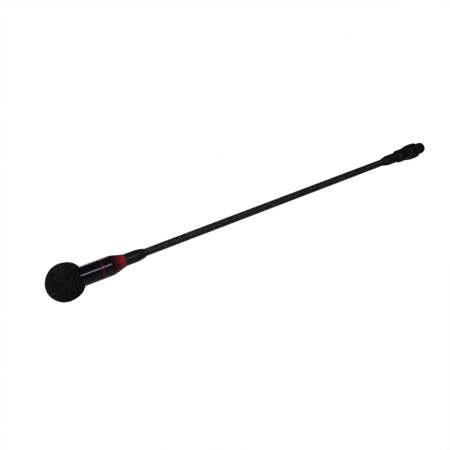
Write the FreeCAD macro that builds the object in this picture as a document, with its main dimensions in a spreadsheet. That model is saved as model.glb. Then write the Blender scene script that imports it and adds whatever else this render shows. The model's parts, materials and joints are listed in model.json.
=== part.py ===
import FreeCAD, Part
import math
import os
import re

import Sketcher

# Gooseneck podium microphone, standing on its plug.
# Frame: millimetres, +Z up from the plug's end to the foam ball, origin on the
# axis at the plug's end.  Every piece is its own object.  Sixteen evenly spaced
# joints divide the neck's coil and cable into seventeen lengths.
#
# Sizes are written as sums of products of sheet names and numbers, such as
# "neck_rad + 0.5*play", so that one text gives both a number and an expression.

os.makedirs("parts", exist_ok=True)
doc = FreeCAD.newDocument("gooseneck_microphone")
Vector = FreeCAD.Vector

# ---------------------------------------------------------------- dimensions
JOINTS = 16
TURNS_PER_LINK = 8

# rad is a radius; low and high, or front and back, are heights along Z
DIMS = {
    "play": 0.05,                       # clearance between neighbouring pieces
    # neck: round spring wire with a wedge-section wire wound in its groove
    "neck_rad": 3.5, "neck_bottom": 51.8, "wire_rad": 0.72, "spring_mean": 2.32,
    "wedge_half": 0.95, "wedge_tip_rad": 2.45, "wedge_tip_half": 0.1,
    "joint_gap": 1.0, "cable_rad": 1.3, "cable_gap": 0.44,
    "stub_low": 30.5, "stub_high": 334.0, "cable_low": 24.0, "cable_high": 338.0,
    # lock ring: knurled head and threaded spigot in one piece
    "ring_front": 9.4, "ring_back": 19.6, "ring_rad": 8.05, "ring_chamfer": 0.5,
    "ring_lip_rad": 7.85, "ring_lip_top": 13.0, "shoulder_rad": 6.15, "shoulder_deep": 0.25,
    "spigot_rad": 5.92, "spigot_pilot_rad": 5.3, "spigot_pilot_len": 1.5,
    "spigot_bore": 4.9, "spigot_relief_rad": 5.25, "spigot_relief_len": 0.9,
    "thread_pitch": 1.0, "thread_depth": 0.6,
    "ring_floor": 10.5, "ring_cavity": 6.7, "clip_groove_rad": 7.1,
    "clip_low": 12.5, "clip_thick": 0.8, "clip_inner": 5.8, "clip_outer": 7.0,
    "knurl_depth": 0.38, "knurl_half": 0.34, "knurl_count": 30, "knurl_margin": 0.9,
    # contact barrel, insulator and pins
    "barrel_front": 0.5, "barrel_rad": 4.82, "barrel_bore": 4.2,
    "flange_low": 10.6, "flange_thick": 1.7, "flange_rad": 6.5,
    "barrel_rear_rad": 5.45, "barrel_back": 22.6,
    "insul_low": 6.2, "insul_len": 12.0, "insul_rad": 4.12, "pin_rad": 0.5,
    "pin_circle": 2.3, "pin_front": 1.6, "pin_back": 20.4, "pin_count": 3,
    "key_half": 0.6, "key_deep": 0.45,
    # washer, plug body, collar, boot and the lower grub screw
    "washer_thick": 0.4, "washer_in": 5.6, "washer_out": 7.05,
    "body_back": 34.6, "body_rad": 6.65, "body_front_rad": 7.4,
    "body_step": 26.0, "body_cavity_top": 27.0,
    "collar_rad": 4.7, "collar_low": 27.6, "collar_top": 42.0,
    "boot_top": 53.4, "boot_mouth_rad": 3.95, "boot_rad": 5.25,
    "boot_rib_rad": 5.05, "boot_rib": 1.45,
    "grub_rad": 1.25, "grub_len": 1.9, "grub_flat": 1.3, "grub_low_z": 31.4,
    # upper ferrule and its grub screw
    "ferrule_low": 322.5, "ferrule_top": 340.55, "ferrule_rad": 5.4,
    "ferrule_high_bore": 3.58, "grub_high_z": 331.6, "grub_high_len": 1.7,
    # head: light cone, spine, band, accent ring, tube, light board and lamps
    "cone_high": 353.7, "cone_low_rad": 5.3, "cone_high_rad": 8.85,
    "cone_wall": 1.5, "cone_floor": 2.0,
    "stem_rad": 3.5, "stem_bore": 2.4, "stem_low": 335.2,
    "hub_rad": 7.55, "hub_high": 366.0, "hub_floor": 1.2, "hub_bore": 6.6,
    "band_high": 359.6, "tube_rad": 8.9, "accent_high": 362.25, "accent_rad": 8.95,
    "tube_high": 390.9, "tube_bore": 7.65,
    "board_low": 350.4, "board_thick": 1.0, "board_rad": 5.9,
    "led_len": 1.6, "led_wide": 0.9, "led_tall": 0.6, "led_circle": 4.8,
    # capsule and grille
    "cap_rad": 8.75, "cap_wall": 0.55, "cap_centre": 391.6, "cap_dome": 10.4,
    "cap_spigot_rad": 7.58, "cap_spigot_low": 387.0, "hole_rad": 0.68,
    "hole_ring_a": 2.35, "hole_ring_b": 4.6, "hole_ring_c": 6.8,
    "capsule_rad": 4.85, "capsule_low": 389.6, "capsule_high": 396.2, "capsule_port": 1.1,
    "holder_low": 388.2, "holder_high": 395.0, "holder_rad": 6.95,
    "pcb_low": 388.5, "pcb_thick": 0.8, "pcb_rad": 4.4,
    "lead_rad": 0.42, "lead_off": 0.75,
    # foam windscreen
    "foam_centre": 394.2, "foam_rad": 17.0, "foam_bore": 9.0, "foam_bore_top": 402.6,
}

# Sheet cells that hold a formula; each may use the names above it.
DERIVED = {
    "link_len": "ferrule_low/%d - neck_bottom/%d" % (JOINTS, JOINTS),
    "coil_pitch": "link_len/%d" % TURNS_PER_LINK,
    "washer_low": "ring_back + play",
    "body_front": "washer_low + washer_thick + play",
    "boot_low": "body_back + play",
    "cone_low": "ferrule_top + play",
    "band_low": "cone_high + play",
    "hub_low": "band_low + play",
    "accent_low": "band_high + play",
    "tube_low": "accent_high + play",
    "cap_low": "tube_high + play",
}

NAME = re.compile(r"[A-Za-z_][A-Za-z_]*[A-Za-z]|[A-Za-z]")


def bound(text):
    """The same sum, with each name pointing at its cell."""
    return NAME.sub(lambda found: "Dims." + found.group(0), text)


def value(text):
    """The number that a sum of products of names and numbers stands for."""
    total = 0.0
    for sign, term in re.findall(r"([+-]?)([^+-]+)", text.replace(" ", "")):
        product = 1.0
        for operator, factor in re.findall(r"([*/]?)([^*/]+)", term):
            number = DIMS[factor] if factor in DIMS else float(factor)
            product = product / number if operator == "/" else product * number
        total += -product if sign == "-" else product
    return total


cells = {alias: repr(number) for alias, number in DIMS.items()}
for alias, formula in DERIVED.items():
    DIMS[alias] = value(formula)
    cells[alias] = "=" + formula

sheet = doc.addObject("Spreadsheet::Sheet", "Dims")
for row, (alias, content) in enumerate(cells.items(), start=1):
    sheet.set("A%d" % row, alias)
    sheet.set("B%d" % row, content)
    sheet.setAlias("B%d" % row, alias)
doc.recompute()


# ---------------------------------------------------------------- sketches
def set_bound(thing, prop, text):
    thing.setExpression(prop, bound(text))


def origin_feature(body, role):
    for feature in body.Origin.OriginFeatures:
        if feature.Role == role:
            return feature
    raise RuntimeError("no origin feature " + role)


def new_sketch(body, name, role):
    sketch = body.newObject("Sketcher::SketchObject", name)
    sketch.AttachmentSupport = [(origin_feature(body, role), "")]
    sketch.MapMode = "FlatFace"
    return sketch


def constrain(sketch, text, *constraint):
    """Adds a constraint whose size is bound to the sheet."""
    index = sketch.addConstraint(Sketcher.Constraint(*constraint, value(text)))
    set_bound(sketch, "Constraints[%d]" % index, text)


def fix(sketch, line, end, x_text, y_text):
    """Ties one vertex of a sketch to the sheet."""
    for kind, text, axis in (("DistanceX", x_text, -2), ("DistanceY", y_text, -1)):
        if text == "0":
            sketch.addConstraint(Sketcher.Constraint("PointOnObject", line, end, axis))
        else:
            constrain(sketch, text, kind, -1, 1, line, end)


def polygon(sketch, corners):
    points = [Vector(value(x), value(y), 0) for x, y in corners]
    count = len(points)
    for i in range(count):
        sketch.addGeometry(Part.LineSegment(points[i], points[(i + 1) % count]), False)
    for i in range(count):
        sketch.addConstraint(Sketcher.Constraint("Coincident", i, 2, (i + 1) % count, 1))
    for i, (x, y) in enumerate(corners):
        fix(sketch, i, 1, x, y)


def circle(sketch, x_text, y_text, radius_text):
    sketch.addGeometry(Part.Circle(Vector(value(x_text), value(y_text), 0),
                                   Vector(0, 0, 1), value(radius_text)), False)
    fix(sketch, 0, 3, x_text, y_text)
    constrain(sketch, radius_text, "Radius", 0)


# ---------------------------------------------------------------- bodies
def new_body(label):
    body = doc.addObject("PartDesign::Body", label)
    body.Label = label
    return body


def revolve(body, sketch, name):
    feature = body.newObject("PartDesign::Revolution", name)
    feature.Profile = sketch
    feature.ReferenceAxis = (sketch, ["V_Axis"])
    feature.Angle = 360.0
    doc.recompute()


def turned(label, corners):
    """A body of revolution about Z; corners are (radius, height) sums."""
    body = new_body(label)
    sketch = new_sketch(body, label + "_profile", "XZ_Plane")
    polygon(sketch, corners)
    revolve(body, sketch, label + "_turn")
    return body


def recompute_cut(body, name, least=1e-6):
    """Recomputes, and stops if the newest feature takes no material away."""
    before = body.Shape.Volume
    doc.recompute()
    if not body.Shape.Volume < before - least:
        raise RuntimeError(name + " cuts nothing")


def new_pocket(body, name, sketch, length_text):
    pocket = body.newObject("PartDesign::Pocket", name)
    pocket.Profile = sketch
    pocket.Type = 0
    set_bound(pocket, "Length", length_text)
    return pocket


def upward_cut(body, name, draw, shape, base_text, length_text, count_text=None):
    """Cuts draw(sketch, *shape) upward from base, repeated about Z if counted."""
    sketch = new_sketch(body, name + "_sketch", "XY_Plane")
    draw(sketch, *shape)
    set_bound(sketch, ".AttachmentOffset.Base.z", base_text)
    doc.recompute()
    pocket = new_pocket(body, name, sketch, length_text)
    pocket.Reversed = True
    recompute_cut(body, name)
    if count_text is None:
        return
    pattern = body.newObject("PartDesign::PolarPattern", name + "_around")
    pattern.Originals = [pocket]
    pattern.Axis = (origin_feature(body, "Z_Axis"), [""])
    pattern.Angle = 360.0
    set_bound(pattern, "Occurrences", count_text)
    body.Tip = pattern
    recompute_cut(body, name + "_around")


def radial_hole(body, name, z_text, length_text, radius_text):
    """A round hole from the axis toward -Y, through one wall."""
    sketch = new_sketch(body, name + "_sketch", "XZ_Plane")
    circle(sketch, "0", z_text, radius_text)
    doc.recompute()
    pocket = new_pocket(body, name, sketch, length_text)
    normal = sketch.getGlobalPlacement().Rotation.multVec(Vector(0, 0, 1))
    # a pocket runs against its sketch's normal, and this one has to run to -Y
    pocket.Reversed = normal.y < 0
    recompute_cut(body, name)


# ---------------------------------------------------------------- Part objects
X_AXIS = Vector(1, 0, 0)
Z_AXIS = Vector(0, 0, 1)


def rotated(axis, angle):
    return FreeCAD.Placement(Vector(0, 0, 0), FreeCAD.Rotation(axis, angle))


def primitive(kind, name, **sizes):
    thing = doc.addObject("Part::" + kind, name)
    for prop, text in sizes.items():
        set_bound(thing, prop, text)
    return thing


def placed(thing, x=None, y=None, z=None, upright=True):
    """Binds a place; a thing that is not upright has its own Z laid along -Y."""
    if not upright:
        thing.Placement = rotated(X_AXIS, 90)
    for letter, text in (("x", x), ("y", y), ("z", z)):
        if text is not None:
            set_bound(thing, ".Placement.Base." + letter, text)
    return thing


def joined(kind, label, base, tool):
    thing = doc.addObject("Part::" + kind, label)
    thing.Label = label
    thing.Base = base
    thing.Tool = tool
    return thing


def group(label, things):
    thing = doc.addObject("Part::Compound", label)
    thing.Label = label
    thing.Links = things
    return thing


def flat_ring(label, prefix, outer_text, inner_text, thick_text):
    disc = primitive("Cylinder", prefix + "_disc", Radius=outer_text, Height=thick_text)
    hole = primitive("Cylinder", prefix + "_hole", Radius=inner_text, Height=thick_text)
    return joined("Cut", label, disc, hole)


def one_per_pin(name, make):
    """Copies of a shape on the pin circle, each turned to face outward."""
    things = []
    count = DIMS["pin_count"]
    for i in range(count):
        thing = make("%s_%d" % (name, i + 1))
        angle = 360.0 / count * i
        thing.Placement = rotated(Z_AXIS, angle)
        placed(thing, x="pin_circle * (%.9f)" % math.cos(math.radians(angle)),
               y="pin_circle * (%.9f)" % math.sin(math.radians(angle)))
        things.append(thing)
    return things


def grub_screw(label, z_text, start_text, length_text):
    """Headless screw along -Y, with a hexagon socket in its outer end."""
    shank = primitive("Cylinder", label + "_shank", Radius="grub_rad", Height=length_text)
    # half the width across flats, over cos 30, is the hexagon's corner radius
    socket = primitive("Prism", label + "_socket", Circumradius="0.5*grub_flat/0.866025404",
                       Height=length_text)
    socket.Polygon = 6
    placed(socket, z="0.45*grub_len")
    screw = joined("Cut", label, shank, socket)
    return placed(screw, y="0 - (%s)" % start_text, z=z_text, upright=False)


pieces = []


def piece(thing):
    """Lists a finished piece for export."""
    pieces.append(thing)
    return thing


# ---------------------------------------------------------------- lock ring
# M12 x 1 spigot with a plain pilot, a smooth lip with the shoulder that seats
# on the socket, a knurled grip, a cavity for the barrel's flange and a groove
# for the clip.  The shoulder starts outside the thread's crest.
lock_ring = piece(turned("lock_ring", [
    ("spigot_bore", "0"),
    ("spigot_pilot_rad - 0.2", "0"),
    ("spigot_pilot_rad", "0.2"),
    ("spigot_pilot_rad", "spigot_pilot_len"),
    ("spigot_rad", "spigot_pilot_len + 0.55"),
    ("spigot_rad", "ring_front - spigot_relief_len - 0.5"),
    ("spigot_relief_rad", "ring_front - spigot_relief_len"),
    ("spigot_relief_rad", "ring_front + shoulder_deep"),
    ("shoulder_rad", "ring_front + shoulder_deep"),
    ("shoulder_rad", "ring_front"),
    ("ring_lip_rad - ring_chamfer", "ring_front"),
    ("ring_lip_rad", "ring_front + ring_chamfer"),
    ("ring_lip_rad", "ring_lip_top - 0.3"),
    ("ring_lip_rad - 0.25", "ring_lip_top"),
    ("ring_rad - 0.25", "ring_lip_top + 0.05"),
    ("ring_rad", "ring_lip_top + 0.3"),
    ("ring_rad", "ring_back - ring_chamfer"),
    ("ring_rad - ring_chamfer", "ring_back"),
    ("ring_cavity", "ring_back"),
    ("ring_cavity", "clip_low + clip_thick + play"),
    ("clip_groove_rad", "clip_low + clip_thick + play"),
    ("clip_groove_rad", "clip_low - play"),
    ("ring_cavity", "clip_low - play"),
    ("ring_cavity", "ring_floor"),
    ("spigot_bore", "ring_floor"),
]))
knurl_corners = [
    ("ring_rad - knurl_depth", "0"),
    ("ring_rad + 0.3", "knurl_half + 0.25"),
    ("ring_rad + 0.3", "0 - knurl_half - 0.25"),
]
upward_cut(lock_ring, "knurl_groove", polygon, [knurl_corners], "ring_lip_top + 0.3",
           "ring_back - ring_lip_top - 0.3 - knurl_margin", "knurl_count")

# V-shaped thread groove, cut along a helix
thread_sketch = new_sketch(lock_ring, "thread_profile", "XZ_Plane")
polygon(thread_sketch, [
    ("spigot_rad - thread_depth", "spigot_pilot_len - 0.35"),
    ("spigot_rad + 0.2", "spigot_pilot_len - 0.35 - 0.5*thread_pitch + 0.04"),
    ("spigot_rad + 0.2", "spigot_pilot_len - 0.35 + 0.5*thread_pitch - 0.04"),
])
doc.recompute()
thread = lock_ring.newObject("PartDesign::SubtractiveHelix", "thread_groove")
thread.Profile = thread_sketch
thread.ReferenceAxis = (thread_sketch, ["V_Axis"])
thread.Mode = 0
set_bound(thread, "Pitch", "thread_pitch")
set_bound(thread, "Height", "ring_front - spigot_pilot_len - spigot_relief_len + 0.4")
thread.LeftHanded = False
thread.Reversed = False
recompute_cut(lock_ring, "thread_groove", least=1.0)

# Snap ring in the lock ring's groove, open by a slot toward +X.
clip_ring = flat_ring("clip_ring", "clip", "clip_outer", "clip_inner", "clip_thick")
clip_slot = placed(primitive("Box", "clip_slot", Length="clip_outer", Width="3*key_half",
                             Height="clip_thick"), y="0 - 1.5*key_half")
piece(placed(joined("Cut", "ring_clip", clip_ring, clip_slot), z="clip_low"))

# ---------------------------------------------------------------- contacts
# Contact barrel: thin shell with a flange the lock ring pulls on, and a keyway.
barrel = piece(turned("contact_barrel", [
    ("barrel_bore", "barrel_front"),
    ("barrel_rad", "barrel_front"),
    ("barrel_rad", "flange_low"),
    ("flange_rad", "flange_low"),
    ("flange_rad", "flange_low + flange_thick"),
    ("barrel_rear_rad", "flange_low + flange_thick"),
    ("barrel_rear_rad", "barrel_back"),
    ("barrel_bore", "barrel_back"),
]))
keyway_corners = [
    ("barrel_bore - 0.6", "key_half"),
    ("barrel_bore - 0.6", "0 - key_half"),
    ("barrel_bore + key_deep", "0 - key_half"),
    ("barrel_bore + key_deep", "key_half"),
]
upward_cut(barrel, "keyway", polygon, [keyway_corners], "barrel_front",
           "insul_low - barrel_front - 0.2")

# Insulator with a hole for each pin.
insulator = piece(turned("contact_insulator", [
    ("0", "insul_low"),
    ("insul_rad", "insul_low"),
    ("insul_rad", "insul_low + insul_len"),
    ("0", "insul_low + insul_len"),
]))
upward_cut(insulator, "pin_hole", circle, ["pin_circle", "0", "pin_rad + play"],
           "insul_low", "insul_len", "pin_count")


def contact_pin(name):
    """Round pin with a tapered nose at its lower end."""
    shank = primitive("Cylinder", name + "_shank", Radius="pin_rad",
                      Height="pin_back - pin_front - 0.5*pin_rad")
    placed(shank, z="pin_front + 0.5*pin_rad")
    nose = primitive("Cone", name + "_nose", Radius1="0.5*pin_rad", Radius2="pin_rad",
                     Height="0.5*pin_rad")
    placed(nose, z="pin_front")
    return joined("Fuse", name, shank, nose)


piece(group("contact_pins", one_per_pin("contact_pin", contact_pin)))

# ---------------------------------------------------------------- plug body
# Flat washer between the lock ring and the plug body.
piece(placed(flat_ring("ring_washer", "washer", "washer_out", "washer_in", "washer_thick"),
             z="washer_low"))

# Plug body: shell over the barrel's rear, with a seat for the collar.
plug_body = piece(turned("plug_body", [
    ("barrel_rear_rad + play", "body_front"),
    ("body_front_rad - 0.3", "body_front"),
    ("body_front_rad", "body_front + 0.3"),
    ("body_front_rad", "body_front + 0.9"),
    ("body_rad", "body_step"),
    ("body_rad", "body_back - 1.3"),
    ("body_rad - 0.6", "body_back"),
    ("collar_rad + play", "body_back"),
    ("collar_rad + play", "body_cavity_top"),
    ("barrel_rear_rad + play", "body_cavity_top"),
]))
radial_hole(plug_body, "grub_hole_low", "grub_low_z", "body_rad + 1", "grub_rad + play")
piece(grub_screw("plug_grub_screw", "grub_low_z", "collar_rad + play", "grub_len"))

# Brass collar crimped on the neck's lower end.
piece(turned("neck_collar", [
    ("neck_rad + play", "collar_low"),
    ("collar_rad", "collar_low"),
    ("collar_rad", "collar_top"),
    ("neck_rad + play", "collar_top"),
]))

# Boot: soft sleeve between the plug body and the neck, with four shallow
# grooves that leave ribs between them.
rib_corners = []
for i in range(4):
    groove_low = "boot_low + 1.6 + %g*boot_rib" % (2 * i)
    rib_corners += [
        ("boot_rad", groove_low),
        ("boot_rib_rad", groove_low + " + 0.45*boot_rib"),
        ("boot_rib_rad", groove_low + " + boot_rib"),
        ("boot_rad", groove_low + " + 1.45*boot_rib"),
    ]
piece(turned("neck_boot", [
    ("collar_rad + play", "boot_low"),
    ("boot_rad - 0.35", "boot_low"),
    ("boot_rad", "boot_low + 0.4"),
] + rib_corners + [
    ("boot_rad", "boot_top - 6.1"),
    ("boot_rad - 0.13", "boot_top - 5.2"),
    ("boot_rad - 0.36", "boot_top - 4.1"),
    ("boot_mouth_rad + 0.52", "boot_top - 2.2"),
    ("boot_mouth_rad + 0.04", "boot_top - 0.5"),
    ("boot_mouth_rad - 0.15", "boot_top"),
    ("neck_rad + 0.1", "boot_top"),
    ("neck_rad + 0.1", "collar_top + play"),
    ("collar_rad + play", "collar_top + play"),
]))


def plug_lead(name):
    """Lead from a pin, bent inward to end 0.8 from the axis below the cable."""
    low = value("pin_back + 0.1")
    path = Part.makePolygon([Vector(0, 0, low), Vector(0, 0, low + 0.8),
                             Vector(value("0.8 - pin_circle"), 0, value("cable_low - 0.1"))])
    section = Part.Circle(Vector(0, 0, low), Z_AXIS, DIMS["lead_rad"])
    sweep = Part.BRepOffsetAPI.MakePipeShell(path)
    sweep.add(Part.Wire([section.toShape()]))
    sweep.setTransitionMode(2)
    sweep.build()
    sweep.makeSolid()
    lead = doc.addObject("Part::Feature", name)
    lead.Shape = sweep.shape()
    return lead


piece(group("plug_leads", one_per_pin("plug_lead", plug_lead)))


# ---------------------------------------------------------------- neck
def helix(name, radius_text, turns_text, start_text):
    path = primitive("Helix", name, Pitch="coil_pitch", Height=turns_text + "*coil_pitch",
                     Radius=radius_text)
    return placed(path, z=start_text)


def swept(name, section, path):
    wire = doc.addObject("Part::Sweep", name)
    wire.Sections = [section]
    wire.Spine = (path, ["Edge1"])
    wire.Solid = True
    wire.Frenet = True
    return wire


def coil(name, start_text, turns_text, low_text, high_text):
    """Spring wire and wedge wire, wound from local z = start and cut to a slab.

    Every link holds a whole number of turns, so both wires carry on across
    the joints.  Local z = 0 is a joint's plane.
    """
    slab = primitive("Cylinder", name + "_slab", Radius="neck_rad + 1",
                     Height="%s - (%s)" % (high_text, low_text))
    placed(slab, z=low_text)

    spring_path = helix(name + "_spring_path", "spring_mean", turns_text, start_text)
    spring_section = primitive("Circle", name + "_spring_section", Radius="wire_rad")
    placed(spring_section, x="spring_mean", z=start_text, upright=False)
    spring = swept(name + "_spring", spring_section, spring_path)

    # the wedge lies half a pitch above the spring, its tip toward the axis
    middle = start_text + " + 0.5*coil_pitch"
    wedge_path = helix(name + "_wedge_path", "neck_rad", turns_text, middle)
    wedge_section = doc.addObject("Sketcher::SketchObject", name + "_wedge_section")
    wedge_section.Placement = rotated(X_AXIS, 90)
    polygon(wedge_section, [
        ("neck_rad - 0.12", middle + " - wedge_half"),
        ("neck_rad", middle + " - 0.6*wedge_half"),
        ("neck_rad", middle + " + 0.6*wedge_half"),
        ("neck_rad - 0.12", middle + " + wedge_half"),
        ("wedge_tip_rad", middle + " + wedge_tip_half"),
        ("wedge_tip_rad", middle + " - wedge_tip_half"),
    ])
    wedge = swept(name + "_wedge", wedge_section, wedge_path)
    return [joined("Common", name + "_spring_cut", spring, slab),
            joined("Common", name + "_wedge_cut", wedge, slab)]


def joint_height(number):
    """Height of a joint, counted from 1 at the bottom."""
    return "neck_bottom + %g*link_len" % (number - 0.5)


FIRST_JOINT = joint_height(1)
LAST_JOINT = joint_height(JOINTS)

# Coil: a stub below the first joint, a link above each joint but the last,
# and a stub above the last.
low_stub = coil("coil_low", "0 - 15*coil_pitch", "17",
                "stub_low - (%s)" % FIRST_JOINT, "0 - 0.5*joint_gap")
piece(placed(group("neck_coil_00", low_stub), z=FIRST_JOINT))
middle_link = coil("coil_link", "0 - 2*coil_pitch", "12",
                   "0.5*joint_gap", "link_len - 0.5*joint_gap")
for k in range(1, JOINTS):
    piece(placed(group("neck_coil_%02d" % k, middle_link), z=joint_height(k)))
high_stub = coil("coil_high", "0 - 2*coil_pitch", "13",
                 "0.5*joint_gap", "stub_high - (%s)" % LAST_JOINT)
piece(placed(group("neck_coil_%02d" % JOINTS, high_stub), z=LAST_JOINT))


def cable(number, low_text, length_text):
    length = primitive("Cylinder", "cable_%02d" % number, Radius="cable_rad",
                       Height=length_text)
    piece(placed(length, z=low_text))


# Cable down the middle of the coil, divided at the same joints.
cable(0, "cable_low", FIRST_JOINT + " - 0.5*cable_gap - cable_low")
for k in range(1, JOINTS):
    cable(k, joint_height(k) + " + 0.5*cable_gap", "link_len - cable_gap")
cable(JOINTS, LAST_JOINT + " + 0.5*cable_gap",
      "cable_high - (%s) - 0.5*cable_gap" % LAST_JOINT)

# ---------------------------------------------------------------- ferrule
# Upper ferrule, rounded down to the neck.
ferrule = piece(turned("upper_ferrule", [
    ("ferrule_high_bore", "ferrule_low"),
    ("neck_rad + 0.35", "ferrule_low"),
    ("neck_rad + 0.75", "ferrule_low + 1.1"),
    ("neck_rad + 1.12", "ferrule_low + 2.6"),
    ("neck_rad + 1.42", "ferrule_low + 4.3"),
    ("neck_rad + 1.66", "ferrule_low + 6.1"),
    ("ferrule_rad - 0.06", "ferrule_low + 7.4"),
    ("ferrule_rad", "ferrule_low + 8.6"),
    ("ferrule_rad", "ferrule_top - 0.25"),
    ("ferrule_rad - 0.2", "ferrule_top"),
    ("stem_rad + play", "ferrule_top"),
    ("stem_rad + play", "stem_low - play"),
    ("cable_rad + 0.15", "stem_low - play"),
    ("cable_rad + 0.15", "stub_high + play"),
    ("ferrule_high_bore", "stub_high + play"),
]))
radial_hole(ferrule, "grub_hole_high", "grub_high_z", "ferrule_rad + 1", "grub_rad + play")
piece(grub_screw("ferrule_grub_screw", "grub_high_z", "neck_rad + 0.1", "grub_high_len"))

# ---------------------------------------------------------------- head
# Spine: the turned core that joins the ferrule to the head tube.
spine = piece(turned("head_spine", [
    ("stem_bore", "stem_low"),
    ("stem_rad", "stem_low"),
    ("stem_rad", "hub_low"),
    ("hub_rad - 1", "hub_low"),
    ("hub_rad - 1", "band_low + 0.75"),
    ("hub_rad", "band_low + 0.75"),
    ("hub_rad", "hub_high"),
    ("hub_bore", "hub_high"),
    ("hub_bore", "hub_low + hub_floor"),
    ("stem_bore", "hub_low + hub_floor"),
]))
LAMP_LEAD_HEIGHT = "board_low - 1.4"
radial_hole(spine, "led_lead_hole", LAMP_LEAD_HEIGHT, "stem_rad + 1", "lead_rad + 0.25")

# Light cone: clear red shell between the ferrule and the band.
piece(turned("light_cone", [
    ("stem_rad + play", "cone_low"),
    ("cone_low_rad", "cone_low"),
    ("cone_high_rad", "cone_high - 0.6"),
    ("cone_high_rad", "cone_high"),
    ("cone_high_rad - cone_wall", "cone_high"),
    ("cone_high_rad - cone_wall - 0.25", "cone_high - 1.0"),
    ("cone_low_rad - 0.6*cone_wall", "cone_low + cone_floor"),
    ("stem_rad + play", "cone_low + cone_floor"),
]))

# Light board, with four lamps under it.
piece(placed(flat_ring("light_board", "board", "board_rad", "stem_rad + play", "board_thick"),
             z="board_low"))
lamps = []
for i, (toward_x, toward_y) in enumerate(((1, 0), (0, 1), (-1, 0), (0, -1))):
    lamp = primitive("Box", "lamp_%d" % (i + 1), Length="led_wide", Width="led_len",
                     Height="led_tall")
    lamp.Placement = rotated(Z_AXIS, 90 * i)
    # a box is placed by its corner, so it is moved back by half its size
    placed(lamp,
           x="(%d) * (led_circle - 0.5*led_wide) + (%d) * (0.5*led_len)" % (toward_x, toward_y),
           y="(%d) * (led_circle - 0.5*led_wide) - (%d) * (0.5*led_len)" % (toward_y, toward_x),
           z="board_low - led_tall - play")
    lamps.append(lamp)
piece(group("indicator_lamps", lamps))

# Rear band, accent ring and head tube, one above the other round the hub.
piece(turned("rear_band", [
    ("hub_rad - 1 + play", "band_low"),
    ("tube_rad - 0.12", "band_low"),
    ("tube_rad", "band_low + 0.15"),
    ("tube_rad", "band_high - 0.15"),
    ("tube_rad - 0.12", "band_high"),
    ("hub_rad + play", "band_high"),
    ("hub_rad + play", "band_low + 0.7"),
    ("hub_rad - 1 + play", "band_low + 0.7"),
]))
piece(turned("accent_ring", [
    ("hub_rad + play", "accent_low"),
    ("accent_rad - 0.15", "accent_low"),
    ("accent_rad", "accent_low + 0.3"),
    ("accent_rad", "accent_high - 0.3"),
    ("accent_rad - 0.15", "accent_high"),
    ("hub_rad + play", "accent_high"),
]))
piece(turned("head_tube", [
    ("tube_bore", "tube_low"),
    ("tube_rad - 0.15", "tube_low"),
    ("tube_rad", "tube_low + 0.2"),
    ("tube_rad", "tube_high - 0.25"),
    ("tube_rad - 0.2", "tube_high"),
    ("tube_bore", "tube_high"),
]))


# ---------------------------------------------------------------- grille
def draw_grille(sketch):
    """Wall of the cap: spigot, step, rim and dome, as a closed loop of ten edges."""
    dome_centre = value("cap_centre")
    outer, inner = value("cap_dome"), value("cap_dome - cap_wall")
    rim, rim_inner = value("cap_rad"), value("cap_rad - cap_wall")
    spigot, spigot_inner = value("cap_spigot_rad"), value("cap_spigot_rad - cap_wall")
    spigot_low, step = value("cap_spigot_low"), value("cap_low")
    step_inner = value("cap_low + cap_wall")
    # rise from the dome's centre to where it meets the rim, outside and inside
    rise = math.sqrt(outer ** 2 - rim ** 2)
    rise_inner = math.sqrt(inner ** 2 - rim_inner ** 2)

    def line(start, end):
        return Part.LineSegment(Vector(*start, 0), Vector(*end, 0))

    def dome_arc(radius, start_rise, start_radius):
        full = Part.Circle(Vector(0, dome_centre, 0), Z_AXIS, radius)
        return Part.ArcOfCircle(full, math.atan2(start_rise, start_radius), math.pi / 2)

    outer_arc, inner_arc = 4, 6
    edges = [
        line((spigot_inner, spigot_low), (spigot, spigot_low)),
        line((spigot, spigot_low), (spigot, step)),
        line((spigot, step), (rim, step)),
        line((rim, step), (rim, dome_centre + rise)),
        dome_arc(outer, rise, rim),
        line((0, dome_centre + outer), (0, dome_centre + inner)),
        dome_arc(inner, rise_inner, rim_inner),
        line((rim_inner, dome_centre + rise_inner), (rim_inner, step_inner)),
        line((rim_inner, step_inner), (spigot_inner, step_inner)),
        line((spigot_inner, step_inner), (spigot_inner, spigot_low)),
    ]
    for edge in edges:
        sketch.addGeometry(edge, False)
    # the inner arc is the one edge that runs against the loop
    for i in range(len(edges)):
        following = (i + 1) % len(edges)
        sketch.addConstraint(Sketcher.Constraint(
            "Coincident", i, 1 if i == inner_arc else 2,
            following, 2 if following == inner_arc else 1))
    # edge, vertex (1 start, 3 centre), radius and height
    for edge, vertex, x_text, y_text in (
            (0, 1, "cap_spigot_rad - cap_wall", "cap_spigot_low"),
            (1, 1, "cap_spigot_rad", "cap_spigot_low"),
            (2, 1, "cap_spigot_rad", "cap_low"),
            (3, 1, "cap_rad", "cap_low"),
            (outer_arc, 3, "0", "cap_centre"),
            (inner_arc, 3, "0", "cap_centre"),
            (8, 1, "cap_rad - cap_wall", "cap_low + cap_wall"),
            (9, 1, "cap_spigot_rad - cap_wall", "cap_low + cap_wall")):
        fix(sketch, edge, vertex, x_text, y_text)
    constrain(sketch, "cap_dome", "Radius", outer_arc)
    constrain(sketch, "cap_dome - cap_wall", "Radius", inner_arc)
    for upright_edge in (3, 7):
        sketch.addConstraint(Sketcher.Constraint("Vertical", upright_edge))
    for vertex in (1, 2):
        sketch.addConstraint(Sketcher.Constraint("PointOnObject", 5, vertex, -2))


# Grille cap: perforated dome with a spigot that pushes into the head tube.
grille = piece(new_body("grille_cap"))
grille_profile = new_sketch(grille, "grille_profile", "XZ_Plane")
draw_grille(grille_profile)
revolve(grille, grille_profile, "grille_turn")
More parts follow.
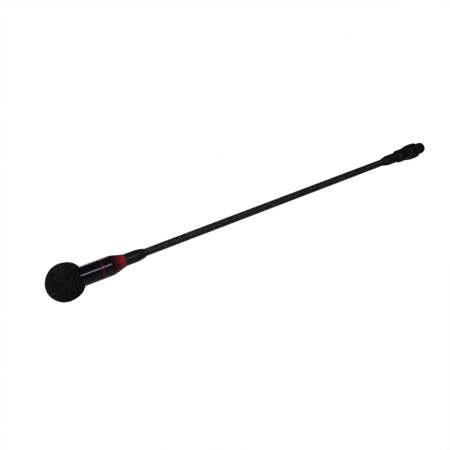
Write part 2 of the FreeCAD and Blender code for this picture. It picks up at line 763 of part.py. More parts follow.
# name, distance from the axis and number of holes
for hole_name, distance, hole_count in (
        ("hole_centre", "0", None), ("hole_a", "hole_ring_a", "6"),
        ("hole_b", "hole_ring_b", "12"), ("hole_c", "hole_ring_c", "18")):
    upward_cut(grille, hole_name, circle, [distance, "0", "hole_rad"],
               "cap_centre + 4", "cap_dome", hole_count)

# ---------------------------------------------------------------- capsule
# Capsule, its rubber holder and its little board.
piece(turned("capsule", [
    ("0", "capsule_low"),
    ("capsule_rad - 0.3", "capsule_low"),
    ("capsule_rad", "capsule_low + 0.3"),
    ("capsule_rad", "capsule_high - 0.3"),
    ("capsule_rad - 0.3", "capsule_high"),
    ("capsule_port", "capsule_high"),
    ("capsule_port", "capsule_high - 0.6"),
    ("0", "capsule_high - 0.6"),
]))
piece(turned("capsule_holder", [
    ("capsule_rad + play", "capsule_low"),
    ("pcb_rad + 0.15", "capsule_low - play"),
    ("pcb_rad + 0.15", "holder_low"),
    ("holder_rad", "holder_low"),
    ("holder_rad", "holder_high - 0.5"),
    ("holder_rad - 0.5", "holder_high"),
    ("capsule_rad + play", "holder_high"),
]))
piece(turned("capsule_board", [
    ("0", "pcb_low"),
    ("pcb_rad", "pcb_low"),
    ("pcb_rad", "pcb_low + pcb_thick"),
    ("0", "pcb_low + pcb_thick"),
]))

# Leads: two straight ones from the cable to the capsule board, and one bent
# toward -Y, out through the spine's hole under the light board.
leads = []
for i, side in enumerate((1, -1)):
    lead = primitive("Cylinder", "audio_lead_%d" % (i + 1), Radius="lead_rad",
                     Height="pcb_low - cable_high - 2*play")
    leads.append(placed(lead, x="(%d) * lead_off" % side, z="cable_high + play"))
LAMP_LEAD_Y = "0 - 1.1"
lead_rise = primitive("Cylinder", "lamp_lead_rise", Radius="lead_rad",
                      Height=LAMP_LEAD_HEIGHT + " - cable_high - play")
placed(lead_rise, y=LAMP_LEAD_Y, z="cable_high + play")
lead_out = primitive("Cylinder", "lamp_lead_out", Radius="lead_rad",
                     Height="stem_rad + 0.6 - 1.1")
placed(lead_out, y=LAMP_LEAD_Y, z=LAMP_LEAD_HEIGHT, upright=False)
lead_elbow = primitive("Sphere", "lamp_lead_elbow", Radius="lead_rad")
placed(lead_elbow, y=LAMP_LEAD_Y, z=LAMP_LEAD_HEIGHT)
lead_low = joined("Fuse", "lamp_lead_low", lead_rise, lead_elbow)
leads.append(joined("Fuse", "lamp_lead_bent", lead_low, lead_out))
piece(group("head_leads", leads))

# ---------------------------------------------------------------- windscreen
# Foam ball with a blind bore, a push fit over the tube.
foam_ball = placed(primitive("Sphere", "foam_ball", Radius="foam_rad"), z="foam_centre")
foam_socket = primitive("Cylinder", "foam_socket", Radius="foam_bore",
                        Height="foam_bore_top - foam_centre + foam_rad + 1")
placed(foam_socket, z="foam_centre - foam_rad - 1")
piece(joined("Cut", "foam_windscreen", foam_ball, foam_socket))

# ---------------------------------------------------------------- check, write
doc.recompute()
failed = [thing.Name for thing in doc.Objects
          if "Invalid" in thing.State or "Error" in thing.State]
if failed:
    raise RuntimeError("failed objects: " + ", ".join(failed))
if len({thing.Label for thing in pieces}) != len(pieces):
    raise RuntimeError("labels repeat")
for thing in pieces:
    shape = thing.Shape
    if shape.isNull() or not shape.isValid() or not shape.Solids:
        raise RuntimeError("bad shape: " + thing.Label)
for thing in pieces:
    thing.Shape.exportStep(os.path.join("parts", thing.Label + ".step"))
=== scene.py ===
"""A gooseneck microphone standing upright on its Z axis: plug at the bottom, foam ball on top.

The script winds the neck, moulds the foam windscreen, gives every CAD piece its material
and sets up a white floor, studio lights and the camera.
"""

import json
import math

import bmesh
import bpy
from mathutils import Matrix, Vector, noise


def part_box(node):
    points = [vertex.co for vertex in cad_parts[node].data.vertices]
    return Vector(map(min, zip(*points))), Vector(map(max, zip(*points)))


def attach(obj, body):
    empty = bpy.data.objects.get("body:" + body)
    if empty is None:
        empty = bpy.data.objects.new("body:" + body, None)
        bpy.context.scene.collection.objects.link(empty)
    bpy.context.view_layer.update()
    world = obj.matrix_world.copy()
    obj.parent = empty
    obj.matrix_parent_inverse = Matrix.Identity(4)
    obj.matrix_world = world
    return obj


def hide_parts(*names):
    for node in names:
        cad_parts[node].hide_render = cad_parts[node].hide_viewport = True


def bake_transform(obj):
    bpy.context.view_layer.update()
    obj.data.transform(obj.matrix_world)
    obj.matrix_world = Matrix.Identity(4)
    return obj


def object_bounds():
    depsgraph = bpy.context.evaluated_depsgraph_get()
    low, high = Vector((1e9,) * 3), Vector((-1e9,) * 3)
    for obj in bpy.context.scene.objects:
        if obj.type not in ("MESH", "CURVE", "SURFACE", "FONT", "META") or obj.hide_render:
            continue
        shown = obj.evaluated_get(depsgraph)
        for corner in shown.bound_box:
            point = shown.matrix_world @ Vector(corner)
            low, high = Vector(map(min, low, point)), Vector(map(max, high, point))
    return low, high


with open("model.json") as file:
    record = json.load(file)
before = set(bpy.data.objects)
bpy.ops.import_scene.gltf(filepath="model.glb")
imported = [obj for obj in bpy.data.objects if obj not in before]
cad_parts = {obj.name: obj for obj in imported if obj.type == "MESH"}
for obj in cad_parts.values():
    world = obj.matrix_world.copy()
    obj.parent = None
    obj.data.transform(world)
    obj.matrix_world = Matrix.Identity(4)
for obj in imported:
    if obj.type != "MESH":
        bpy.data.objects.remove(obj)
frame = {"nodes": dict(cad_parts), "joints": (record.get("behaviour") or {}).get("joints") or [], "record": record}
cad_low, cad_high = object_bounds()
scene = bpy.context.scene
MM = 0.001


# ------------------------------------------------------------------ helpers
def new_mesh(name, verts, faces, smooth=True, sharp_degrees=None):
    mesh = bpy.data.meshes.new(name)
    mesh.from_pydata(verts, [], faces)
    mesh.validate()
    bm = bmesh.new()
    bm.from_mesh(mesh)
    bmesh.ops.recalc_face_normals(bm, faces=bm.faces)
    bm.to_mesh(mesh)
    bm.free()
    mesh.polygons.foreach_set("use_smooth", [smooth] * len(mesh.polygons))
    if sharp_degrees is not None:
        mesh.set_sharp_from_angle(angle=math.radians(sharp_degrees))
    obj = bpy.data.objects.new(name, mesh)
    scene.collection.objects.link(obj)
    return obj


def paint(obj, material):
    obj.data.materials.clear()
    obj.data.materials.append(material)


def tinted(colour, factor, lift=0.0):
    return tuple(channel * factor + lift for channel in colour)


def set_range(node, over, to):
    """Make a Map Range node carry the span `over` onto the span `to`."""
    for key, number in zip(("From Min", "From Max", "To Min", "To Max"), (*over, *to)):
        node.inputs[key].default_value = number


def mix_shaders(tree, factor, first, second):
    node = tree.nodes.new("ShaderNodeMixShader")
    for socket, source in zip(node.inputs, (factor, first, second)):
        tree.links.new(source, socket)
    return node.outputs[0]


class Graph:
    """A short way to write a material's nodes. Lengths are in metres."""

    def __init__(self, name):
        self.material = bpy.data.materials.new(name)
        self.material.use_nodes = True
        self.tree = self.material.node_tree
        self.tree.nodes.clear()
        self.out = self.new("OutputMaterial")
        self.bsdf = self.new("BsdfPrincipled")
        self.link(self.bsdf.outputs[0], self.out.inputs["Surface"])
        self.coord = self.new("TexCoord").outputs["Object"]

    def new(self, kind):
        return self.tree.nodes.new("ShaderNode" + kind)

    def link(self, source, socket):
        self.tree.links.new(source, socket)

    def put(self, socket, value):
        """Link the value if it is a socket, otherwise store it."""
        if isinstance(value, bpy.types.NodeSocket):
            self.link(value, socket)
        else:
            socket.default_value = value

    def set(self, **values):
        for key, value in values.items():
            self.put(self.bsdf.inputs[key.replace("_", " ")], value)

    def noise(self, scale, detail=3.0, rough=0.55, coord=None):
        node = self.new("TexNoise")
        node.inputs["Scale"].default_value = scale
        node.inputs["Detail"].default_value = detail
        node.inputs["Roughness"].default_value = rough
        self.link(coord or self.coord, node.inputs["Vector"])
        return node.outputs[0]

    def streaks(self, across, along, detail=3.0, rough=0.55):
        """Noise with one scale across Z and another along it."""
        node = self.new("Mapping")
        node.inputs["Scale"].default_value = (across, across, along)
        self.link(self.coord, node.inputs["Vector"])
        return self.noise(scale=1.0, detail=detail, rough=rough, coord=node.outputs[0])

    def cells(self, scale, feature="F1"):
        node = self.new("TexVoronoi")
        node.feature = feature
        node.inputs["Scale"].default_value = scale
        self.link(self.coord, node.inputs["Vector"])
        return node.outputs["Distance"]

    def ramp(self, factor, *stops):
        node = self.new("ValToRGB")
        elements = node.color_ramp.elements
        while len(elements) < len(stops):
            elements.new(0.5)
        for element, (position, colour) in zip(elements, stops):
            element.position = position
            element.color = colour + (1.0,)
        self.link(factor, node.inputs[0])
        return node.outputs[0]

    def span(self, value, over=(0.3, 0.7), to=(0.0, 1.0), smooth=False):
        node = self.new("MapRange")
        node.interpolation_type = "SMOOTHSTEP" if smooth else "LINEAR"
        self.put(node.inputs["Value"], value)
        set_range(node, over, to)
        return node.outputs[0]

    def maths(self, operation, *values):
        """Inputs left out are zero."""
        node = self.new("Math")
        node.operation = operation
        for socket, value in zip(node.inputs, values + (0.0, 0.0)):
            self.put(socket, value)
        return node.outputs[0]

    def add(self, first, second):
        return self.maths("ADD", first, second, 0.0)

    def times(self, value, by):
        return self.maths("MULTIPLY", value, by, 0.0)

    def times_plus(self, value, by, plus):
        return self.maths("MULTIPLY_ADD", value, by, plus)

    def mix(self, factor, first, second):
        node = self.new("Mix")
        node.data_type = "RGBA"
        self.put(node.inputs[0], factor)
        for socket, value in ((node.inputs[6], first), (node.inputs[7], second)):
            self.put(socket, value + (1.0,) if isinstance(value, tuple) else value)
        return node.outputs[2]

    def axes(self):
        node = self.new("SeparateXYZ")
        self.link(self.coord, node.inputs[0])
        return node.outputs

    def radius(self):
        """Distance from the Z axis."""
        x, y, _ = self.axes()
        return self.maths("SQRT", self.add(self.times(x, by=x), self.times(y, by=y)))

    def bump(self, height, strength, distance, normal=None):
        node = self.new("Bump")
        node.inputs["Strength"].default_value = strength
        node.inputs["Distance"].default_value = distance
        self.link(height, node.inputs["Height"])
        if normal is not None:
            self.link(normal, node.inputs["Normal"])
        self.link(node.outputs[0], self.bsdf.inputs["Normal"])
        return node.outputs[0]


# ------------------------------------------------------------------ materials
def foam_material():
    """Open-cell foam: struts lighter as a painted glint and cell hollows darker as painted shade, broken up by
    grain, clumps and patches.
    """
    g = Graph("foam_open_cell")
    fine = g.cells(scale=2300.0)
    edge = g.cells(scale=1150.0, feature="DISTANCE_TO_EDGE")
    grain = g.noise(scale=820.0, detail=4.0, rough=0.75)
    clump = g.noise(scale=560.0, detail=2.0, rough=0.5)
    patch = g.noise(scale=90.0, detail=2.0)
    # struts: 1 on the cell walls, 0 in the hollows; in the colour below it paints a glint on the walls and shade
    # in the hollows
    struts_lit_pores_shaded = g.span(edge, over=(0.02, 0.20), to=(1.0, 0.0), smooth=True)
    tone_with_painted_light = g.times(g.times_plus(struts_lit_pores_shaded, by=0.65, plus=0.35),
                    by=g.span(grain, over=(0.34, 0.66), to=(0.1, 1.7)))
    tone_with_painted_light = g.times(tone_with_painted_light, by=g.span(patch, over=(0.35, 0.65), to=(0.9, 1.1)))
    tone_with_painted_light = g.times(tone_with_painted_light, by=g.span(clump, over=(0.35, 0.65), to=(0.15, 1.85)))
    # the dark end is painted shade in the cell hollows and the light end a painted glint on the struts, varied by
    # random grain
    colour = g.mix(tone_with_painted_light, (0.0012, 0.0012, 0.0014), (0.0190, 0.0186, 0.0192))
    g.set(Base_Color=colour, Roughness=0.95, IOR=1.35, Specular_IOR_Level=0.08,
          Sheen_Weight=0.03, Sheen_Roughness=0.5)
    relief = g.times_plus(struts_lit_pores_shaded, by=0.8, plus=g.times(fine, by=0.5))
    coarse = g.bump(relief, strength=0.9, distance=0.00022)
    g.bump(grain, strength=0.6, distance=0.00016, normal=coarse)
    return g.material


def gloss_material():
    """Black lacquer with a little haze, a few dust specks and hairlines along Z."""
    g = Graph("gloss_lacquer")
    haze = g.noise(scale=120.0, detail=4.0, rough=0.6)
    dust = g.cells(scale=1500.0)
    speck = g.span(dust, over=(0.0, 0.07), to=(1.0, 0.0), smooth=True)
    few = g.times(speck, by=g.span(g.noise(scale=300.0, detail=1.0), over=(0.62, 0.72)))
    hair = g.streaks(across=2600.0, along=120.0, detail=2.0, rough=0.5)
    rough = g.add(g.span(haze, to=(0.07, 0.13)), g.times(few, by=0.4))
    rough = g.add(rough, g.span(hair, over=(0.62, 0.75), to=(0.0, 0.08)))
    colour = g.mix(g.times(few, by=0.35), (0.0060, 0.0058, 0.0088), (0.16, 0.16, 0.16))
    g.set(Base_Color=colour, Roughness=rough, IOR=1.5, Coat_Weight=0.25, Coat_Roughness=0.04)
    g.bump(g.noise(scale=900.0, detail=2.0), strength=0.05, distance=0.00004)
    return g.material


def satin_material(name, base, rough, streak=False, grain=2600.0, depth=0.00003, worn=0.0):
    """Painted or plated metal: fine grain, and optional lengthways streaks and rubbed edges."""
    g = Graph(name)
    fine = g.noise(scale=grain, detail=4.0, rough=0.65)
    cloud = g.noise(scale=160.0, detail=3.0, rough=0.5)
    rough = g.span(cloud, to=rough)
    if streak:
        lines = g.streaks(across=1500.0, along=60.0)
        rough = g.add(rough, g.span(lines, over=(0.35, 0.7), to=(-0.07, 0.09)))
    colour = g.mix(g.span(cloud), tinted(base, 0.75), tinted(base, 1.35))
    if worn:
        pointiness = g.new("NewGeometry").outputs["Pointiness"]
        edge = g.span(pointiness, over=(0.53, 0.60), to=(0.0, worn), smooth=True)
        edge = g.times(edge, by=g.span(g.noise(scale=700.0), over=(0.42, 0.62)))
        colour = g.mix(edge, colour, (0.12, 0.12, 0.12))
        rough = g.maths("SUBTRACT", rough, g.times(edge, by=0.12))
    g.set(Base_Color=colour, Roughness=rough, IOR=1.5)
    g.bump(fine, strength=0.35, distance=depth)
    return g.material


def neck_material():
    """Black finish on wound wire: crests lighter, partly rubbed wear and partly a painted highlight; grooves
    darkened with painted shade.
    """
    g = Graph("neck_wire_black")
    radius = g.radius()
    crest = g.span(radius, over=(0.00338, 0.00350), smooth=True)
    deep_groove_shade = g.span(radius, over=(0.0030, 0.00336), to=(1.0, 0.0), smooth=True)
    patches = g.noise(scale=420.0, detail=4.0, rough=0.6)
    # the crests' lighter patches are partly rubbed wear and partly a painted highlight
    rub_and_painted_highlight = g.times(crest, by=g.span(patches, over=(0.45, 0.68)))
    colour = g.mix(rub_and_painted_highlight, (0.0125, 0.0125, 0.0135), (0.052, 0.052, 0.056))
    # painted shade darkens the grooves between the turns
    colour = g.mix(g.times(deep_groove_shade, by=0.85), colour, (0.002, 0.002, 0.002))
    rough = g.add(g.span(g.noise(scale=260.0), to=(0.27, 0.40)), g.times(deep_groove_shade, by=0.4))
    g.set(Base_Color=colour, Roughness=rough, IOR=1.5)
    g.bump(g.noise(scale=3200.0), strength=0.3, distance=0.00002)
    return g.material


def rubber_material(name, base, rough):
    g = Graph(name)
    fine = g.noise(scale=2400.0, detail=5.0, rough=0.7)
    dust = g.noise(scale=220.0, detail=4.0, rough=0.6)
    dusty = tinted(base, 2.0, lift=0.003)
    colour = g.mix(g.span(dust, over=(0.45, 0.75)), base, dusty)
    g.set(Base_Color=colour, Roughness=g.span(dust, to=(rough - 0.08, rough + 0.1)),
          IOR=1.5, Specular_IOR_Level=0.4)
    g.bump(fine, strength=0.4, distance=0.00003)
    return g.material


def lens_material():
    """Clear red moulding: mottled, and brighter towards its lower end, where the glow of the lamps inside is
    painted into its colour.
    """
    g = Graph("red_light_cone")
    _, _, z = g.axes()
    low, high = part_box("light_cone")
    lowness = g.span(z, over=(low.z, high.z), to=(1.0, 0.0))
    cloud = g.noise(scale=330.0, detail=3.0, rough=0.6)
    blotch = g.cells(scale=380.0, feature="SMOOTH_F1")
    mottle = g.span(g.add(g.times(cloud, by=0.7), g.times(blotch, by=0.5)),
                    over=(0.45, 0.85), smooth=True)
    # painted light: the glow of the lamps inside, painted into the colour so it grows towards the lower end
    painted_lamp_glow = g.span(lowness, over=(0.02, 0.92), smooth=True)
    tone_with_painted_light = g.times(painted_lamp_glow, by=g.times_plus(mottle, by=-0.30, plus=1.0))
    # the bright end of this ramp is the painted lamp glow
    # position along the ramp, colour
    colour = g.ramp(tone_with_painted_light,
                    (0.0, (0.030, 0.0080, 0.0095)), (0.35, (0.066, 0.0110, 0.0135)),
                    (0.7, (0.155, 0.0175, 0.025)), (1.0, (0.250, 0.025, 0.037)))
    g.set(Base_Color=colour, Roughness=0.16, IOR=1.49, Transmission_Weight=0.35,
          Coat_Weight=0.5, Coat_Roughness=0.06)
    g.bump(g.noise(scale=420.0, detail=2.0), strength=0.12, distance=0.00006)
    return g.material


def accent_material():
    g = Graph("red_accent_ring")
    cloud = g.noise(scale=500.0)
    colour = g.mix(g.span(cloud, over=(0.35, 0.65)),
                   (0.026, 0.0085, 0.0105), (0.056, 0.0135, 0.0165))
    g.set(Base_Color=colour, Roughness=g.span(cloud, to=(0.12, 0.22)), IOR=1.49,
          Transmission_Weight=0.15, Coat_Weight=0.4, Coat_Roughness=0.06)
    g.bump(cloud, strength=0.08, distance=0.00004)
    return g.material


def metal_material(name, base, rough):
    """Bare metal with fine turning marks round Z."""
    g = Graph(name)
    turned = g.streaks(across=60.0, along=3600.0, rough=0.6)
    cloud = g.noise(scale=200.0)
    colour = g.mix(g.span(cloud), tinted(base, 0.8), base)
    g.set(Base_Color=colour, Metallic=1.0,
          Roughness=g.add(g.span(turned, to=(rough - 0.05, rough + 0.1)),
                          g.span(cloud, to=(0.0, 0.05))))
    g.bump(turned, strength=0.15, distance=0.00002)
    return g.material


def plastic_material(name, base, rough, traces=None):
    """Moulded plastic; `traces` is the colour of a network of thin lines."""
    g = Graph(name)
    cloud = g.noise(scale=260.0)
    colour = g.mix(g.span(cloud), tinted(base, 0.8), tinted(base, 1.15))
    if traces:
        edge = g.cells(scale=600.0, feature="DISTANCE_TO_EDGE")
        line = g.span(edge, over=(0.03, 0.07), to=(1.0, 0.0))
        colour = g.mix(g.times(line, by=0.7), colour, traces)
    g.set(Base_Color=colour, Roughness=g.span(cloud, to=(rough - 0.06, rough + 0.08)), IOR=1.5)
    g.bump(g.noise(scale=1800.0), strength=0.2, distance=0.00003)
    return g.material


MATERIALS = {
    "foam": foam_material(),
    "gloss_black": gloss_material(),
    "satin_black": satin_material("satin_ferrule", base=(0.0110, 0.0110, 0.0114),
                                  rough=(0.38, 0.50), streak=True),
    "plug_metal": satin_material("plug_black_plate", base=(0.0080, 0.0080, 0.0094),
                                 rough=(0.34, 0.46), grain=1900.0, depth=0.00004, worn=0.14),
    "grille_metal": satin_material("grille_black", base=(0.011, 0.011, 0.012),
                                   rough=(0.38, 0.5), grain=1500.0, depth=0.00004, worn=0.5),
    "black_screw": satin_material("black_oxide", base=(0.014, 0.014, 0.015),
                                  rough=(0.30, 0.42), worn=0.5),
    "neck_wire": neck_material(),
    "boot_rubber": rubber_material("boot_rubber", base=(0.0078, 0.0078, 0.0082), rough=0.62),
    "holder_rubber": rubber_material("holder_rubber", base=(0.014, 0.014, 0.014), rough=0.7),
    "cable_jacket": rubber_material("cable_jacket", base=(0.012, 0.012, 0.013), rough=0.5),
    "red_lens": lens_material(),
    "red_ring": accent_material(),
    "nickel": metal_material("nickel_plate", base=(0.60, 0.58, 0.54), rough=0.18),
    "gold_contact": metal_material("gold_plate", base=(0.80, 0.58, 0.24), rough=0.16),
    "brass": metal_material("machined_brass", base=(0.62, 0.46, 0.20), rough=0.30),
    "spine_metal": metal_material("machined_alloy", base=(0.50, 0.50, 0.52), rough=0.32),
    "capsule_metal": metal_material("drawn_steel", base=(0.48, 0.48, 0.49), rough=0.26),
    "spring_steel": metal_material("phosphated_steel", base=(0.10, 0.10, 0.105), rough=0.42),
    "insulator": plastic_material("moulded_insulator", base=(0.020, 0.020, 0.021), rough=0.45),
    "washer_plastic": plastic_material("moulded_nylon", base=(0.030, 0.030, 0.030), rough=0.5),
    "circuit_board": plastic_material("board_mask", base=(0.012, 0.075, 0.028), rough=0.35,
                                      traces=(0.03, 0.17, 0.07)),
    "lamp": plastic_material("lamp_lens", base=(0.55, 0.48, 0.44), rough=0.2),
    "lead_wire": plastic_material("lead_insulation", base=(0.22, 0.018, 0.018), rough=0.4),
}
for part in frame["record"]["subparts"]:
    paint(frame["nodes"][part["node"]], MATERIALS[part["material_slot"]])

# ------------------------------------------------------------------ neck
# A round-wire spring with a wedge-shaped wire wound between its turns, one section per hinge.
hinges = [joint for joint in frame["joints"] if joint["name"].startswith("neck_")]
heights = [hinge["pos_m"][2] for hinge in hinges]
LINK = heights[1] - heights[0]
TURNS = 8                       # per link
END_TURNS = 3                   # extra turns at each end of the neck
PITCH = LINK / TURNS
coil_low, coil_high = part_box("neck_coil_01")
NECK_R = (coil_high.x - coil_low.x) / 2

WEDGE_HALF = 0.975 * MM         # half height of the wedge wire's outer face
WEDGE_CROWN = 0.20 * MM         # how far that face falls back at its edges
CROWN_POWER = 2.6
WEDGE_STEPS = 8
SHOULDER_R = NECK_R - 0.42 * MM
SHOULDER_HALF = WEDGE_HALF * 0.93
ROOT_R, ROOT_HALF = 2.62 * MM, 0.20 * MM
SPRING_R, SPRING_WIRE_R = 2.30 * MM, 0.70 * MM
SPRING_SIDES = 10
WEDGE_TURN_STEPS, SPRING_TURN_STEPS = 40, 24


def wound(profile, centre_z, first_turn, last_turn, steps):
    """A closed wire: the profile's (radius, height) points swept round a right-hand helix."""
    count = int(round((last_turn - first_turn) * steps))
    verts, faces, sides = [], [], len(profile)
    for i in range(count + 1):
        turn = first_turn + i / steps
        angle = 2 * math.pi * turn
        z = centre_z + PITCH * turn
        verts += [(r * math.cos(angle), r * math.sin(angle), z + h) for r, h in profile]
    for i in range(count):
        for k in range(sides):
            a, b = i * sides + k, i * sides + (k + 1) % sides
            faces.append((a, b, b + sides, a + sides))
    faces.append(tuple(reversed(range(sides))))
    faces.append(tuple(range(count * sides, (count + 1) * sides)))
    return verts, faces


def wedge_profile():
    points = []
    for k in range(WEDGE_STEPS + 1):
        t = -1 + 2 * k / WEDGE_STEPS
        points.append((NECK_R - WEDGE_CROWN * abs(t) ** CROWN_POWER, WEDGE_HALF * t))
    return points + [(SHOULDER_R, SHOULDER_HALF), (ROOT_R, ROOT_HALF),
                     (ROOT_R, -ROOT_HALF), (SHOULDER_R, -SHOULDER_HALF)]


def spring_profile():
    angles = [2 * math.pi * k / SPRING_SIDES for k in range(SPRING_SIDES)]
    return [(SPRING_R + SPRING_WIRE_R * math.cos(a), SPRING_WIRE_R * math.sin(a))
            for a in angles]


def neck_section(index, z):
    first = -TURNS / 2 - (END_TURNS if index == 0 else 0)
    last = TURNS / 2 + (END_TURNS if index == len(hinges) - 1 else 0)
    verts, faces = wound(wedge_profile(), z + PITCH / 2, first, last, WEDGE_TURN_STEPS)
    spring_verts, spring_faces = wound(spring_profile(), z, first, last, SPRING_TURN_STEPS)
    faces += [tuple(k + len(verts) for k in face) for face in spring_faces]
    section = new_mesh("neck_section_%02d" % (index + 1), verts + spring_verts, faces,
                       sharp_degrees=38)
    paint(section, MATERIALS["neck_wire"])
    # the first section also stands in for the coil below the first hinge
    coils = ["neck_coil_00"] if index == 0 else []
    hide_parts(*coils, "neck_coil_%02d" % (index + 1))
    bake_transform(section)


for index, hinge in enumerate(hinges):
    neck_section(index, heights[index])

# ------------------------------------------------------------------ foam windscreen
BALL_R = 17.0 * MM
BALL_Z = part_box("foam_windscreen")[1].z - BALL_R
BALL_CENTRE = Vector((0, 0, BALL_Z))
SOCKET_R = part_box("head_tube")[1].x + 0.1 * MM
SOCKET_TOP = 402.6 * MM
RIM = 0.55 * MM                 # radius of the socket's rounded rim
AROUND = 400
ARC_STEPS, RIM_STEPS, WALL_STEPS, ROOF_STEPS = 200, 6, 18, 6

# where the moulded ball isn't quite round: direction, width in degrees, height in mm
DENTS = [(Vector(direction).normalized(), math.radians(width), height)
         for direction, width, height in (
             ((0.704, -0.710, 0.014), 19, -0.90), ((-0.208, -0.187, 0.960), 24, -0.72),
             ((-0.606, 0.733, -0.310), 42, 0.62), ((0.597, -0.290, -0.748), 14, -0.85))]

# surface relief: frequencies (per metre, LUMP_FREQ per ball radius) and heights
LUMP_FREQ, LUMP_OFFSET, LUMP_HEIGHT = 1.7, Vector((4.1, 0.3, 2.2)), 0.42 * MM
CELL_FREQ, CELL_WALL, CELL_DEPTH = 900.0, 0.42, 0.19 * MM
GRAIN_FREQ, GRAIN_HEIGHT = 1500.0, 0.05 * MM
GRAIN_FRACTAL = (0.9, 2.0, 3)   # H, lacunarity, octaves
CLUMP_FREQ, CLUMP_HEIGHT = 480.0, 0.10 * MM


def foam_meridian():
    """(radius, height, relief weight) from the ball's top, round the rim, into the socket."""
    lip = math.asin((SOCKET_R + RIM) / BALL_R)
    line = []
    for k in range(1, ARC_STEPS + 1):
        a = (math.pi - lip) * k / ARC_STEPS
        line.append((BALL_R * math.sin(a), BALL_Z + BALL_R * math.cos(a), 1.0))
    end_r, end_z, _ = line[-1]
    for k in range(1, RIM_STEPS + 1):
        a = math.pi / 2 * k / RIM_STEPS
        line.append((end_r - RIM * math.sin(a),
                     end_z + RIM * (1 - math.cos(a)) - 0.25 * RIM * math.sin(2 * a),
                     1.0 - 0.9 * k / RIM_STEPS))
    start = line[-1][1]
    line += [(SOCKET_R, start + (SOCKET_TOP - start) * k / WALL_STEPS, 0.0)
             for k in range(1, WALL_STEPS + 1)]
    line += [(SOCKET_R * (1 - k / ROOF_STEPS), SOCKET_TOP, 0.0) for k in range(1, ROOF_STEPS)]
    return line


def foam_point(x, y, z, weight):
    """The point moved out or in by the foam's relief, and kept clear of the socket."""
    point = Vector((x, y, z))
    if weight > 0:
        outward = (point - BALL_CENTRE).normalized()
        lump = noise.noise(outward * LUMP_FREQ + LUMP_OFFSET) * LUMP_HEIGHT
        for place, width, height in DENTS:
            lump += height * MM * math.exp(-0.5 * (outward.angle(place) / width) ** 2)
        near = noise.voronoi(point * CELL_FREQ)[0]
        cell = min(1.0, max(0.0, (near[1] - near[0]) / CELL_WALL))
        cell = cell * cell * (3 - 2 * cell)
        grain = noise.fractal(point * GRAIN_FREQ, *GRAIN_FRACTAL) * GRAIN_HEIGHT
        clump = noise.noise(point * CLUMP_FREQ) * CLUMP_HEIGHT
        point = point + outward * weight * (lump - cell * CELL_DEPTH + grain + clump)
        flat = math.hypot(point.x, point.y)
        if point.z < BALL_Z and flat < SOCKET_R:
            point.x *= SOCKET_R / flat
            point.y *= SOCKET_R / flat
    return tuple(point)


def foam_windscreen():
    line = foam_meridian()
    verts = [foam_point(0, 0, BALL_Z + BALL_R, 1.0)]
    for r, z, weight in line:
        for i in range(AROUND):
            a = 2 * math.pi * i / AROUND
            verts.append(foam_point(r * math.cos(a), r * math.sin(a), z, weight))
    verts.append((0, 0, SOCKET_TOP))
    faces = [(0, 1 + i, 1 + (i + 1) % AROUND) for i in range(AROUND)]
    for row in range(len(line) - 1):
        base = 1 + row * AROUND
        for i in range(AROUND):
            j = (i + 1) % AROUND
            faces.append((base + i, base + AROUND + i, base + AROUND + j, base + j))
    last = 1 + (len(line) - 1) * AROUND
    faces += [(last + i, len(verts) - 1, last + (i + 1) % AROUND) for i in range(AROUND)]
    ball = new_mesh("foam_ball", verts, faces)
    paint(ball, MATERIALS["foam"])
    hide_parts("foam_windscreen")
    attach(ball, "windscreen")


foam_windscreen()

# ------------------------------------------------------------------ camera
AIM = Vector((0, 0, 0.2415))
DISTANCE = 0.428
LIFT = math.radians(16.2)               # the camera's height angle above the aim
SIDE = Vector((1, 1, 0)).normalized()   # the level direction from the aim to the camera
Z_RIGHT, Z_UP = -0.9346, -0.3556        # where +Z points in the picture: left and a little down
eye = AIM + SIDE * (DISTANCE * math.cos(LIFT)) + Vector((0, 0, DISTANCE * math.sin(LIFT)))
forward = (AIM - eye).normalized()
level_right = forward.cross(Vector((0, 0, 1))).normalized()
level_up = level_right.cross(forward)
image_right = level_right * Z_UP + level_up * Z_RIGHT
image_up = level_right * -Z_RIGHT + level_up * Z_UP
camera_data = bpy.data.cameras.new("camera")
camera = bpy.data.objects.new("camera", camera_data)
scene.collection.objects.link(camera)
scene.camera = camera
camera_data.sensor_width = 36.0
camera_data.lens = 35.848
camera_data.shift_y = -0.0063333
camera_data.clip_start = 0.01
camera_data.clip_end = 50.0
rotation = Matrix((image_right, image_up, -forward)).transposed()
camera.matrix_world = Matrix.Translation(eye) @ rotation.to_4x4()

# ------------------------------------------------------------------ floor
FLOOR_HALF = 6
FLOOR_GAP = 0.0001


def floor_material():
    g = Graph("pale_floor")
    g.set(Base_Color=g.mix(g.noise(scale=3.0, detail=2.0),
                           (0.93, 0.93, 0.93), (0.96, 0.96, 0.96)),
          Roughness=0.9, Specular_IOR_Level=0.1)
    glow = g.new("Emission")
    glow.inputs["Color"].default_value = (1, 1, 1, 1)
    glow.inputs["Strength"].default_value = 1.0
    path = g.new("LightPath")
    surface = g.bsdf.outputs[0]
    # near the plug the floor takes a little real light and shadow; further off it is white
    near = g.span(g.radius(), over=(0.02, 0.16), to=(0.22, 0.0), smooth=True)
    shade = mix_shaders(g.tree, near, glow.outputs[0], surface)
    seen = mix_shaders(g.tree, path.outputs["Is Camera Ray"], surface, shade)
    g.link(seen, g.out.inputs["Surface"])
    return g.material


corners = [(x * FLOOR_HALF, y * FLOOR_HALF, 0) for x, y in ((-1, -1), (1, -1), (1, 1), (-1, 1))]
floor = new_mesh("floor", corners, [(0, 1, 2, 3)], smooth=False)
floor.location.z = cad_low.z - FLOOR_GAP
paint(floor, floor_material())
floor.visible_glossy = False


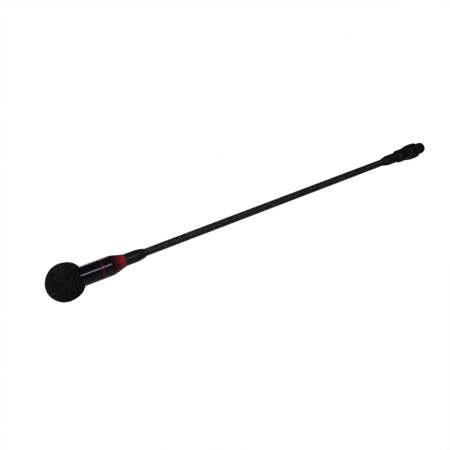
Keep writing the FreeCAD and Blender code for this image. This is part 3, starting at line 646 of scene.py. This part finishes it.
# ------------------------------------------------------------------ light
def studio_world():
    """White to the camera; as light, a soft glow from below the picture's lower edge."""
    world = bpy.data.worlds.new("studio")
    scene.world = world
    world.use_nodes = True
    tree = world.node_tree
    tree.nodes.clear()
    out = tree.nodes.new("ShaderNodeOutputWorld")
    path = tree.nodes.new("ShaderNodeLightPath")
    white = tree.nodes.new("ShaderNodeBackground")
    white.inputs["Color"].default_value = (1, 1, 1, 1)
    soft = tree.nodes.new("ShaderNodeBackground")
    for background in (white, soft):
        background.inputs["Strength"].default_value = 1.0
    coord = tree.nodes.new("ShaderNodeTexCoord")
    dot = tree.nodes.new("ShaderNodeVectorMath")
    dot.operation = "DOT_PRODUCT"
    dot.inputs[1].default_value = tuple(-image_up)
    tree.links.new(coord.outputs["Generated"], dot.inputs[0])
    glow = tree.nodes.new("ShaderNodeMapRange")
    glow.interpolation_type = "SMOOTHSTEP"
    set_range(glow, over=(0.15, 0.95), to=(0.035, 0.62))
    tree.links.new(dot.outputs["Value"], glow.inputs["Value"])
    tree.links.new(glow.outputs[0], soft.inputs["Color"])
    seen = mix_shaders(tree, path.outputs["Is Camera Ray"], soft.outputs[0], white.outputs[0])
    tree.links.new(seen, out.inputs["Surface"])


def area_light(name, toward, right, up, size, power, aim_z=0.24, glossy=True, colour=(1, 1, 1)):
    """Placed from its aim on the Z axis: toward the camera, to its level right, and up."""
    target = Vector((0, 0, aim_z))
    place = target + SIDE * toward + level_right * right + Vector((0, 0, up))
    data = bpy.data.lights.new(name, "AREA")
    data.shape = "RECTANGLE"
    data.size, data.size_y = size
    data.energy = power
    data.color = colour
    light = bpy.data.objects.new(name, data)
    scene.collection.objects.link(light)
    back = (place - target).normalized()
    side = Vector((0, 0, 1)).cross(back).normalized()
    top = back.cross(side)
    turned = Matrix((side, top, back)).transposed().to_4x4()
    light.matrix_world = Matrix.Translation(place) @ turned
    light.visible_glossy = glossy


studio_world()
STRIP_TURN = math.radians(12.0)
area_light("key_soft", toward=0.9, right=0.35, up=0.75, size=(0.9, 0.9), power=35.0,
           glossy=False)
area_light("fill_soft", toward=-1.0, right=-0.9, up=0.7, size=(1.2, 1.2), power=20.0,
           glossy=False)
area_light("strip", toward=math.cos(STRIP_TURN), right=math.sin(STRIP_TURN), up=0.0,
           size=(0.22, 0.62), power=3.6, aim_z=0.30, colour=(1.0, 0.95, 1.0))
area_light("rim", toward=-0.9, right=0.8, up=0.5, size=(0.25, 1.0), power=3.0)

scene.view_settings.view_transform = "Standard"
scene.view_settings.look = "None"
scene.view_settings.exposure = 0.0
# a firmer tone curve: it deepens the mid greys and leaves white alone
scene.view_settings.gamma = 0.65
